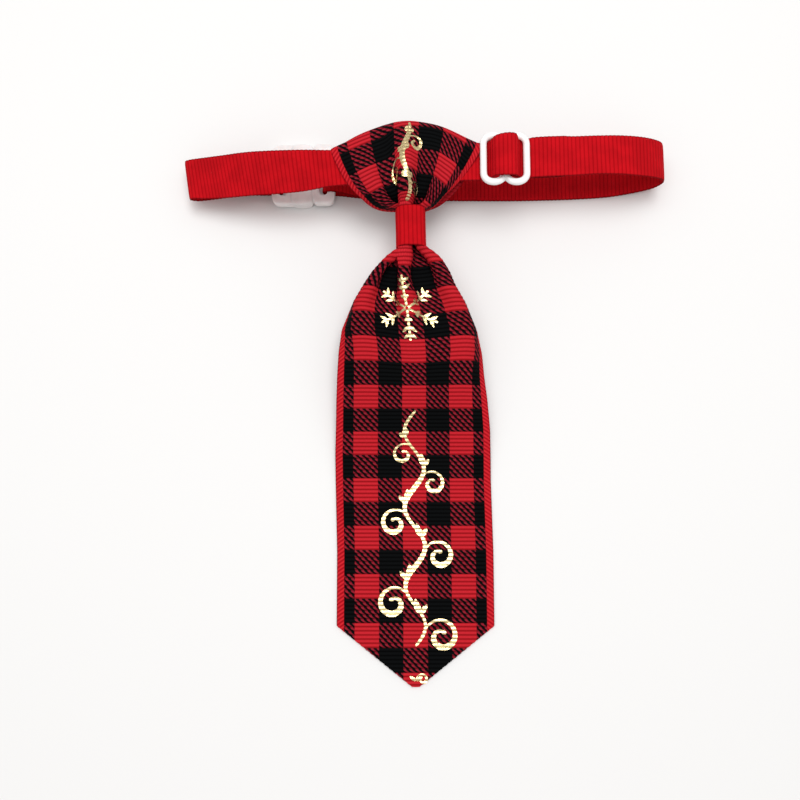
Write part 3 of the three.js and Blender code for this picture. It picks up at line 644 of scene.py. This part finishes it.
def foil_strip(path, half_width, shift):
    """The front and back points of one strip of foil, and its u and v, along a path in u and v.

    The half width falls to a round end over its own length at both ends, and is a little rough:
    a sine along the path, with a shift.
    """
    tangent = unit(np.gradient(path, axis=0))
    side = np.stack([-tangent[:, 1], tangent[:, 0]], axis=1)
    along = running_length(path)
    to_end = np.clip(np.minimum(along, along[-1] - along) / np.maximum(half_width, 0.05), 0, 1)
    rounded = np.sqrt(1 - (1 - to_end) ** 2).clip(0.1, 1)
    rough = 1 + 0.08 * np.sin(9.7 * np.arange(len(path)) + shift)
    half = (half_width * rounded * rough)[:, None, None]
    lanes = np.linspace(-1, 1, 5)[:, None]
    places = path[:, None, :] + half * side[:, None, :] * lanes
    u, v = places[..., 0], places[..., 1]
    top = face_of(tie_surface, u, v, TIE_HALF, TIE_RIB, 1, FOIL_TOP)
    under = face_of(tie_surface, u, v, TIE_HALF, TIE_RIB, 1, FOIL_UNDERSIDE)
    return top, under, np.stack([u, v], axis=-1)


def foil_piece(name, strips, material):
    """One piece from many strips, each a closed thin solid."""
    points, quads, uvs, start = [], [], [], 0
    for number, (path, half_width) in enumerate(strips):
        top, under, uv = foil_strip(path, half_width, number)
        quads += closed_quads(*top.shape[:2], start)
        points += [top.reshape(-1, 3), under.reshape(-1, 3)]
        uvs += [uv.reshape(-1, 2)] * 2
        start += 2 * top.shape[0] * top.shape[1]
    return make_piece(
        name, np.concatenate(points), np.concatenate(quads), material, np.concatenate(uvs)
    )


def spiral(start, heading, radius, side, turns, width):
    """A stroke that winds in from a start and a heading: its radius falls evenly to a fifth."""
    way = np.linspace(0, 1, max(12, int(radius * turns * 26)))
    head = math.radians(heading)
    centre = np.array(start) + side * radius * np.array([-math.sin(head), math.cos(head)])
    angle = head - side * math.pi / 2 + side * 2 * math.pi * turns * way
    reach = radius * (1 - 0.8 * way)
    path = centre + np.stack([np.cos(angle), np.sin(angle)], axis=1) * reach[:, None]
    swell = 0.42 + 0.7 * np.sin(math.pi * way) ** 2 + 0.55 * smooth(0.86, 1.0, way)
    return path, width * swell


def leaf(start, heading, length, width, bend=0.0):
    """A leaf: a short stroke that bends by some degrees and is widest before its middle."""
    way = np.linspace(0, 1, max(10, int(length / 0.1)))
    angle = np.radians(heading + bend * way)
    moves = np.stack([np.cos(angle), np.sin(angle)], axis=1) * length / (len(way) - 1)
    path = np.array(start) + np.concatenate([[[0, 0]], np.cumsum(moves[:-1], axis=0)])
    return path, 0.05 + width * np.sin(math.pi * way**0.75) ** 0.8


# Spirals on the stem. Columns: v where it leaves the stem, side, radius, turns, half width.
SCROLL_SPIRALS = [
    (13.5, -1, 4.3, 1.35, 0.62),
    (22.0, 1, 4.1, 1.3, 0.64),
    (32.5, -1, 3.8, 1.3, 0.58),
    (41.0, 1, 3.6, 1.3, 0.55),
    (50.5, -1, 3.2, 1.25, 0.46),
    (58.0, 1, 2.8, 1.2, 0.38),
]
KNOT_SPIRALS = [
    (121.5, -1, 2.1, 1.15, 0.4),
    (127.5, 1, 2.8, 1.2, 0.46),
    (133.5, -1, 2.2, 1.15, 0.42),
]


def vine(first, last, reach, period, spirals, width):
    """A stem that waves about the middle as a sine, with spirals that wind off it.

    Above each spiral a bud on the stem carries two leaves, one to each side.
    """
    turn = 2 * math.pi / period
    v = np.arange(first, last, 0.16)
    way = (v - first) / (last - first)
    stem = np.stack([reach * np.sin(turn * (v - first)), v], axis=1)
    swell = 0.75 + 0.25 * np.cos(turn * (v - first))
    strips = [(stem, 0.12 + width * np.sin(math.pi * way) ** 0.35 * swell)]
    for root_v, side, radius, turns, half_width in spirals:
        lean = math.degrees(math.atan(reach * turn * math.cos(turn * (root_v - first))))
        root = (reach * math.sin(turn * (root_v - first)), root_v)
        strips.append(spiral(root, 90 - lean + side * 12, radius, side, turns, half_width))
        ahead = root_v + 0.9 * radius
        bud = (reach * math.sin(turn * (ahead - first)), ahead)
        strips.append(leaf(bud, 90 - lean - side * 48, 0.85 * radius, 0.7, side * 35))
        strips.append(leaf(bud, 90 - lean + side * 40, 0.6 * radius, 0.55, -side * 30))
    return strips


def snowflake(centre, reach):
    """Six arms at sixty degrees, each a straight line with three pairs of side branches."""
    strips = []
    for arm in range(6):
        heading = 90 + 60 * arm
        out = np.array([math.cos(math.radians(heading)), math.sin(math.radians(heading))])
        way = np.linspace(0.04, 1, 60)[:, None]
        strips.append((np.array(centre) + way * reach * out, np.full(60, 0.25)))
        for share, length in ((0.3, 1.1), (0.56, 2.1), (0.78, 1.9)):
            root = np.array(centre) + share * reach * out
            for side in (-1, 1):
                strips.append(leaf(root, heading + side * 50, length, 0.3))
    return strips


# Materials

class Finish:
    """A material and its nodes. Most methods add a node and give its output."""

    def __init__(self, name):
        self.material = bpy.data.materials.new(name)
        self.material.use_nodes = True
        self.nodes = self.material.node_tree.nodes
        self.links = self.material.node_tree.links
        self.shader = self.nodes["Principled BSDF"]

    def join(self, socket, value):
        """Links value to a socket if it is an output, and otherwise sets it."""
        if isinstance(value, bpy.types.NodeSocket):
            self.links.new(value, socket)
        else:
            socket.default_value = value

    def maths(self, operation, *values, clamp=False):
        """A sum, product or other operation on values and outputs."""
        node = self.nodes.new("ShaderNodeMath")
        node.operation = operation
        node.use_clamp = clamp
        for socket, value in zip(node.inputs, values):
            self.join(socket, value)
        return node.outputs[0]

    def ramp(self, value, low, high, to_low=0.0, to_high=1.0):
        """A smooth step from to_low at low to to_high at high."""
        node = self.nodes.new("ShaderNodeMapRange")
        node.interpolation_type = "SMOOTHSTEP"
        for socket, number in zip(node.inputs, (value, low, high, to_low, to_high)):
            self.join(socket, number)
        return node.outputs[0]

    def blend(self, share, first, second, kind="MIX"):
        """Two colours blended by a share, or multiplied."""
        node = self.nodes.new("ShaderNodeMix")
        node.data_type = "RGBA"
        node.blend_type = kind
        self.join(node.inputs[0], share)
        self.join(node.inputs[6], first)
        self.join(node.inputs[7], second)
        return node.outputs[2]

    def noise(self, scale, detail):
        """Noise on Object coordinates, whose scale is per metre."""
        node = self.nodes.new("ShaderNodeTexNoise")
        node.inputs["Scale"].default_value = scale
        node.inputs["Detail"].default_value = detail
        place = self.nodes.new("ShaderNodeTexCoord").outputs["Object"]
        self.links.new(place, node.inputs["Vector"])
        return node.outputs["Fac"]

    def weave_place(self):
        """u and v on the ribbon, in millimetres."""
        node = self.nodes.new("ShaderNodeUVMap")
        node.uv_map = "weave"
        parts = self.nodes.new("ShaderNodeSeparateXYZ")
        self.links.new(node.outputs[0], parts.inputs[0])
        return [self.maths("MULTIPLY", parts.outputs[k], WEAVE_SCALE) for k in (0, 1)]

    def wave(self, value, pitch, shift=0.0):
        """The cosine of value, once round for each pitch."""
        turn = self.maths("MULTIPLY_ADD", value, 2 * math.pi / pitch, shift)
        return self.maths("COSINE", turn)

    def bump(self, height, distance, strength):
        """Tilts the shader's normals by the slope of a height."""
        node = self.nodes.new("ShaderNodeBump")
        node.inputs["Strength"].default_value = strength
        node.inputs["Distance"].default_value = distance
        self.links.new(height, node.inputs["Height"])
        self.links.new(node.outputs[0], self.shader.inputs["Normal"])

    def colour(self, output):
        """Gives the shader its base colour."""
        self.links.new(output, self.shader.inputs["Base Color"])


def woven(name, roughness, rib):
    """A ribbon's new finish, with |u|, u, v, how far up a rib's side a point is, and the threads.

    Up a rib's side is |cos(pi v / rib)|. The threads, which cross the ribs, are a cosine of u that
    is shifted by half a pitch from each rib to the next.
    """
    finish = Finish(name)
    finish.shader.inputs["Roughness"].default_value = roughness
    finish.shader.inputs["Specular IOR Level"].default_value = 0.03
    u, v = finish.weave_place()
    up = finish.maths("ABSOLUTE", finish.wave(v, 2 * rib))
    row = finish.maths("FLOOR", finish.maths("MULTIPLY_ADD", v, 1 / rib, 0.5))
    shifted = finish.maths("MULTIPLY_ADD", row, THREAD_PITCH / 2, u)
    return finish, finish.maths("ABSOLUTE", u), u, v, up, finish.wave(shifted, THREAD_PITCH)


def finish_weave(finish, base, reach, half_width, up, threads):
    """Colours a ribbon with painted shade along its selvages, and bumps it with its ribs and
    threads.
    """
    # selvage darkens the colour toward each edge of the ribbon: painted shade.
    selvage = finish.ramp(reach, half_width - 0.3, half_width - 0.03, 1.0, 0.45)
    finish.colour(finish.blend(1.0, base, selvage, "MULTIPLY"))
    finish.bump(finish.maths("MULTIPLY_ADD", up, 0.8, threads), 0.00003, 0.7)
    return finish.material


def ribbon_finish(name, high, low, rib, half_width):
    """Plain ribbed ribbon: painted shade between the ribs and at the selvages, lighter on the rib
    tops, with fine threads.
    """
    finish, reach, _, _, up, threads = woven(name, 0.75, rib)
    # The colour runs from low in the grooves to high on the rib tops: painted shade between the
    # ribs.
    share = finish.ramp(up, 0.0, 0.75)
    share = finish.maths("MULTIPLY_ADD", threads, 0.09, share, clamp=True)
    base = finish.blend(share, low, high)
    uneven = finish.ramp(finish.noise(260.0, 3.0), 0.3, 0.7, 0.88, 1.06)
    base = finish.blend(1.0, base, uneven, "MULTIPLY")
    return finish_weave(finish, base, reach, half_width, up, threads)


def printed_finish(name):
    """The printed ribbon: checks of red and black, twill where the two cross, and red borders."""
    finish, reach, u, v, up, threads = woven(name, 0.7, TIE_RIB)
    red_column = finish.ramp(finish.wave(u, 2 * CHECK_ACROSS), -0.06, 0.06)
    start = -2 * math.pi * RED_ROW_V / (2 * CHECK_ALONG)
    red_row = finish.ramp(finish.wave(v, 2 * CHECK_ALONG, start), -0.06, 0.06)
    both = finish.maths("MULTIPLY", red_column, red_row)
    either = finish.maths("MAXIMUM", red_column, red_row)
    slant = finish.maths("ADD", u, v)
    wobble = finish.maths("MULTIPLY_ADD", finish.wave(v, TIE_RIB), 0.1, slant)
    twill = finish.ramp(finish.wave(wobble, TWILL_PITCH), -0.15, 0.45)
    crossed = finish.maths("MULTIPLY", either, twill)
    border = finish.ramp(reach, BORDER_START - 0.08, BORDER_START + 0.08)
    # Each print colour runs from its groove colour to its rib-top colour by how far up a rib a
    # point is: painted shade in the grooves and painted highlight on the rib tops.
    dark = finish.blend(up, (0.0002, 0.0002, 0.0003, 1), (0.0028, 0.0032, 0.0036, 1))
    twill_red = finish.blend(up, (0.1, 0.002, 0.006, 1), (0.28, 0.015, 0.028, 1))
    red = finish.blend(up, (0.22, 0.002, 0.004, 1), (0.55, 0.018, 0.028, 1))
    base = finish.blend(crossed, dark, twill_red)
    base = finish.blend(both, base, red)
    slope = finish.maths("MULTIPLY_ADD", reach, 0.7, v)
    dash = finish.ramp(finish.wave(slope, TIE_RIB), -0.6, 0.6)
    edge_red = finish.blend(dash, (0.36, 0.004, 0.01, 1), (0.58, 0.018, 0.026, 1))
    base = finish.blend(border, base, edge_red)
    thread_tone = finish.ramp(threads, -1.0, 1.0, 0.86, 1.08)
    base = finish.blend(1.0, base, thread_tone, "MULTIPLY")
    return finish_weave(finish, base, reach, TIE_HALF, up, threads)


def foil_finish(name):
    """Pressed gold foil: metal with small creases and darker specks, with painted shade making the
    specks fuller in the ribs' grooves.
    """
    finish = Finish(name)
    finish.shader.inputs["Metallic"].default_value = 1.0
    v = finish.weave_place()[1]
    up = finish.maths("ABSOLUTE", finish.wave(v, 2 * TIE_RIB))
    specks = finish.ramp(finish.noise(4200.0, 2.0), 0.42, 0.6)
    # The foil's dark specks show fully in the ribs' grooves and faintly on the rib tops: painted
    # shade in the grooves.
    specks_and_groove_shade = finish.maths("MULTIPLY", finish.ramp(up, 0.3, 0.95, 1.0, 0.25), specks)
    finish.colour(finish.blend(specks_and_groove_shade, (0.9, 0.74, 0.4, 1), (0.26, 0.16, 0.045, 1)))
    rough = finish.ramp(finish.noise(3000.0, 1.0), 0.3, 0.7, 0.2, 0.42)
    finish.links.new(rough, finish.shader.inputs["Roughness"])
    finish.bump(finish.noise(2600.0, 3.0), 0.00006, 0.6)
    return finish.material


def plastic_finish(name, colour, darker, roughness, soft):
    """Moulded plastic with a slight unevenness of tone and surface."""
    finish = Finish(name)
    finish.shader.inputs["Roughness"].default_value = roughness
    finish.shader.inputs["Subsurface Weight"].default_value = soft
    finish.shader.inputs["Subsurface Radius"].default_value = (0.002, 0.0016, 0.0014)
    finish.shader.inputs["Subsurface Scale"].default_value = 1.0
    tone = finish.ramp(finish.noise(420.0, 2.0), 0.3, 0.7)
    finish.colour(finish.blend(tone, darker, colour))
    finish.bump(finish.noise(900.0, 2.0), 0.00004, 0.35)
    return finish.material


# Hardware

def tube(name, line, radius, material, **told):
    """A round rod along a closed level line: circles across the line, with one axis upright."""
    along = unit(np.roll(line, -1, axis=0) - np.roll(line, 1, axis=0))
    outward = np.stack([along[:, 1], -along[:, 0], np.zeros(len(line))], axis=1)
    angle = 2 * math.pi * np.arange(ROD_SIDES) / ROD_SIDES
    ring = np.cos(angle)[None, :, None] * outward[:, None, :]
    rise = np.sin(angle)[None, :, None] * np.array([0, 0, 1.0])
    points = line[:, None, :] + radius * (ring + rise)
    quads = grid_quads(len(line), ROD_SIDES, closed_rows=True, closed_columns=True)
    return make_piece(name, points.reshape(-1, 3), quads, material, **told)


def capped_tube(name, rings, material, **told):
    """A closed solid from rings of points. The first and last rings shrink to their middles."""
    rows, columns = rings.shape[:2]
    poles = np.stack([rings[0].mean(axis=0), rings[-1].mean(axis=0)])
    points = np.concatenate([rings[1:-1].reshape(-1, 3), poles])
    body = grid_quads(rows - 2, columns, closed_columns=True)
    here = np.arange(columns)
    ahead = (here + 1) % columns
    pole = np.full(columns, (rows - 2) * columns)
    last = (rows - 3) * columns
    caps = [np.stack([pole, ahead, here], axis=1)]
    caps.append(np.stack([pole + 1, last + here, last + ahead], axis=1))
    return make_piece(name, points, body, material, caps=np.concatenate(caps), **told)


def slider_pieces(material):
    """The slider's frame, a rod bent to a figure eight with two lobes at each end, and its bar."""
    turn = np.linspace(0, math.pi, 41)
    half = []
    for lobe in (0, 1):
        kept = turn if lobe == 0 else turn[1:]
        rim = kept / math.pi if lobe == 0 else 1 - kept / math.pi
        x = -SLIDER_HALF_WIDTH + SLIDER_HALF_WIDTH * (lobe + (1 - np.cos(kept)) / 2)
        y = -mix(SLIDER_SIDE_HALF, SLIDER_PINCH_HALF, rim) - SLIDER_LOBE_DEPTH * np.sin(kept) ** 0.9
        half.append(np.stack([x, y], axis=1))
    end = np.concatenate(half)
    up = np.linspace(-SLIDER_SIDE_HALF, SLIDER_SIDE_HALF, 13)[1:-1]
    side = np.stack([np.full(len(up), SLIDER_HALF_WIDTH), up], axis=1)
    outline = np.concatenate([end, side, -end, -side])
    line = np.concatenate([outline, np.zeros((len(outline), 1))], axis=1)
    for _ in range(2):
        line = (np.roll(line, 1, axis=0) + 2 * line + np.roll(line, -1, axis=0)) / 4
    line = line + np.array(SLIDER_CENTRE)
    tube("slider_frame", line, SLIDER_ROD, material, slot="white_plastic", replaced=["slider"])
    v = np.linspace(-1, 1, 33)[:, None]
    angle = 2 * math.pi * np.arange(ROD_SIDES)[None, :] / ROD_SIDES
    radius = SLIDER_ROD * (1 + 0.12 * v**6) * np.sqrt(np.clip(1 - np.abs(v) ** 24, 0.0, 1))
    bar = np.stack(
        [
            SLIDER_CENTRE[0] + radius * np.cos(angle),
            SLIDER_CENTRE[1] + SLIDER_PINCH_HALF * v + 0 * angle,
            SLIDER_CENTRE[2] + radius * np.sin(angle),
        ],
        axis=-1,
    )
    capped_tube("slider_bar", bar, material, slot="white_plastic")


def powered(value, power):
    """The value's size to a power, with its sign kept."""
    return np.sign(value) * np.abs(value) ** power


def loop_plate(name, outer_x, inner_x, z, height, material, **told):
    """A flat loop round a slot: a ring whose section is a rounded rectangle.

    At each angle the section runs from the slot's outline to the plate's outline, both rounded
    rectangles, and follows a superellipse in width and height.
    """
    side = math.copysign(1, inner_x - outer_x)
    steps = 120
    angle = 2 * math.pi * np.arange(steps)[:, None] / steps
    section = 2 * math.pi * np.arange(ROD_SIDES)[None, :] / ROD_SIDES
    slot_x = outer_x + side * (CLASP_BAR + CLASP_SLOT_WIDTH / 2)
    plate_x, plate_half = (outer_x + inner_x) / 2, abs(inner_x - outer_x) / 2
    cos_a, sin_a = np.cos(angle), np.sin(angle)
    inside = (
        slot_x + CLASP_SLOT_WIDTH / 2 * powered(cos_a, 0.6),
        CLASP_Y + CLASP_SLOT_HALF_LENGTH * powered(sin_a, 0.35),
    )
    outside = (
        plate_x + plate_half * powered(cos_a, 0.42),
        CLASP_Y + CLASP_HALF_LENGTH * powered(sin_a, 0.42),
    )
    across, up = powered(np.cos(section), 0.42), powered(np.sin(section), 0.5)
    points = np.stack(
        [
            mix(inside[0], outside[0], (across + 1) / 2),
            mix(inside[1], outside[1], (across + 1) / 2),
            z + height / 2 * (1 + up) + 0 * angle,
        ],
        axis=-1,
    )
    quads = grid_quads(steps, ROD_SIDES, closed_rows=True, closed_columns=True)
    points = points.reshape(-1, 3)
    return make_piece(name, points, quads, material, slot="milky_plastic", **told)


def clasp_body(material):
    """The clasp's body: a superellipsoid of rings along Y, a little longer along its middle."""
    low_x, high_x = CLASP_BODY_X
    v = np.linspace(-math.pi / 2, math.pi / 2, 45)[:, None]
    angle = 2 * math.pi * np.arange(48)[None, :] / 48
    size = np.cos(v).clip(0, 1) ** 0.22
    half_x, half_z = (high_x - low_x) / 2, CLASP_BODY_HEIGHT / 2
    across = powered(np.cos(angle), 0.3)
    length = CLASP_BODY_HALF_LENGTH * powered(np.sin(v), 0.35)
    points = np.stack(
        [
            (low_x + high_x) / 2 + half_x * size * across,
            CLASP_Y + length * (1 - CLASP_BODY_BULGE * across**2),
            half_z + half_z * size * powered(np.sin(angle), 0.3),
        ],
        axis=-1,
    )
    capped_tube("clasp_body", points, material, slot="milky_plastic", replaced=["clasp_socket"])


def wrap_piece(material):
    """The neck wrap: a short ribbon wound once round the gathers, its end lapped at the back.

    Its line is a rounded rectangle in x and z, from the back, round the front and past its start.
    """
    middle_x, middle_y, middle_z = WRAP_CENTRE
    turn = np.linspace(-math.pi / 2, -math.pi / 2 + 2 * math.pi * WRAP_TURNS, 160)
    lap = WRAP_LAP * smooth(2 * math.pi * 0.98, 2 * math.pi * 1.04, turn + math.pi / 2)
    x = middle_x + (WRAP_HALF_X + lap) * powered(np.cos(turn), 0.62)
    z = middle_z + (WRAP_HALF_Z + lap) * powered(np.sin(turn), 0.62)
    along = running_length(np.stack([x, z], axis=1))

    def surface(u, v):
        """The line's point at v, with u along Y, leaning a little and flared at both ends."""
        out_x, out_z = np.interp(v, along, x) - middle_x, np.interp(v, along, z) - middle_z
        flare = 1 + 0.035 * (u / STRAP_HALF) ** 4
        return np.stack(
            [
                middle_x + out_x * flare - WRAP_SLANT * u,
                middle_y + u * WRAP_WIDTH_SHARE + WRAP_LEAN * out_z,
                middle_z + out_z * flare,
            ],
            axis=-1,
        )

    strap_solid(
        "wrap_cloth", surface, along[-1], material, "tie_ribbon_cloth", replaced=["neck_wrap"]
    )


# Build

# Each plain ribbon's first colour is its rib tops and its second is the painted shade in its
# grooves.
strap_red = ribbon_finish(
    "red_ribbon", (0.5, 0.005, 0.01, 1), (0.34, 0.002, 0.005, 1), STRAP_RIB, STRAP_HALF
)
tie_print = printed_finish("printed_ribbon")
tie_back = ribbon_finish(
    "ribbon_reverse", (0.42, 0.012, 0.02, 1), (0.24, 0.004, 0.008, 1), TIE_RIB, TIE_HALF
)
gold = foil_finish("gold_foil")
white = plastic_finish("white_plastic", (0.9, 0.89, 0.88, 1), (0.86, 0.85, 0.84, 1), 0.16, 0.15)
milky = plastic_finish("milky_plastic", (0.8, 0.755, 0.75, 1), (0.74, 0.7, 0.69, 1), 0.28, 0.3)

strap_solid(
    "strap_cloth", *strip_surface(STRAP_ROWS), strap_red, "table", replaced=["collar_strap"]
)
strap_solid("slider_tab_cloth", *strip_surface(SLIDER_TAB_ROWS), strap_red, "slider_bar")
tie_ribbon(tie_print, tie_back)
wrap_piece(strap_red)
foil_piece("gold_scroll", vine(9.5, 67.0, 2.4, 19.0, SCROLL_SPIRALS, 0.5), gold)
foil_piece("gold_scroll_knot", vine(117.0, 138.5, 0.8, 16.0, KNOT_SPIRALS, 0.5), gold)
tip_strips = [
    spiral((0.1, 1.6), 95, 1.5, -1, 1.15, 0.28),
    leaf((0.1, 1.5), 155, 1.9, 0.36, -25),
    leaf((0.1, 1.5), 25, 1.9, 0.36, 25),
]
foil_piece("gold_scroll_tip", tip_strips, gold)
foil_piece("gold_snowflake", snowflake((-0.3, 92.4), 7.8), gold)
slider_pieces(white)
clasp_body(milky)
loop_plate("clasp_socket_loop", -36.3, -28.6, 0.9, 2.5, milky)
loop_plate("clasp_plug_loop", -19.8, -25.9, 1.5, 2.45, milky, replaced=["clasp_plug"])

# Table, light and camera

table_finish = Finish("table")
table_finish.shader.inputs["Base Color"].default_value = (0.775, 0.77, 0.765, 1)
table_finish.shader.inputs["Roughness"].default_value = 0.9
table_finish.shader.inputs["Specular IOR Level"].default_value = 0.1
table_mesh = bpy.data.meshes.new("table")
corners = [(x * TABLE_HALF, y * TABLE_HALF, 0) for x, y in ((-1, -1), (1, -1), (1, 1), (-1, 1))]
table_mesh.from_pydata(corners, [], [(0, 1, 2, 3)])
table_mesh.materials.append(table_finish.material)
table = bpy.data.objects.new("table", table_mesh)
bpy.context.scene.collection.objects.link(table)


def soft_light(name, place, size, power):
    """A square lamp that faces the middle of the object."""
    lamp = bpy.data.lights.new(name, "AREA")
    lamp.size = size
    lamp.energy = power
    holder = bpy.data.objects.new(name, lamp)
    holder.location = place
    away = np.array(place, float)
    holder.rotation_euler = (
        math.acos(away[2] / np.linalg.norm(away)),
        0,
        math.atan2(away[1], away[0]) + math.pi / 2,
    )
    bpy.context.scene.collection.objects.link(holder)


soft_light("key_light", (0.1, 0.21, 0.86), 0.42, 2.7)
soft_light("top_light", (-0.05, 0.08, 0.55), 0.5, 1.5)

world = bpy.data.worlds.new("soft_room")
bpy.context.scene.world = world
world.use_nodes = True
room = world.node_tree.nodes["Background"]
room.inputs["Color"].default_value = (1, 0.99, 0.98, 1)
room.inputs["Strength"].default_value = 0.6

camera_data = bpy.data.cameras.new("camera")
camera_data.lens = CAMERA_LENS
camera_data.sensor_width = 36.0
camera_data.clip_start = 0.005
camera = bpy.data.objects.new("camera", camera_data)
camera.location = CAMERA_PLACE
camera.rotation_euler = (math.radians(90 - CAMERA_ELEVATION), 0, 0)
bpy.context.scene.collection.objects.link(camera)
bpy.context.scene.camera = camera
bpy.context.scene.view_settings.view_transform = "Standard"
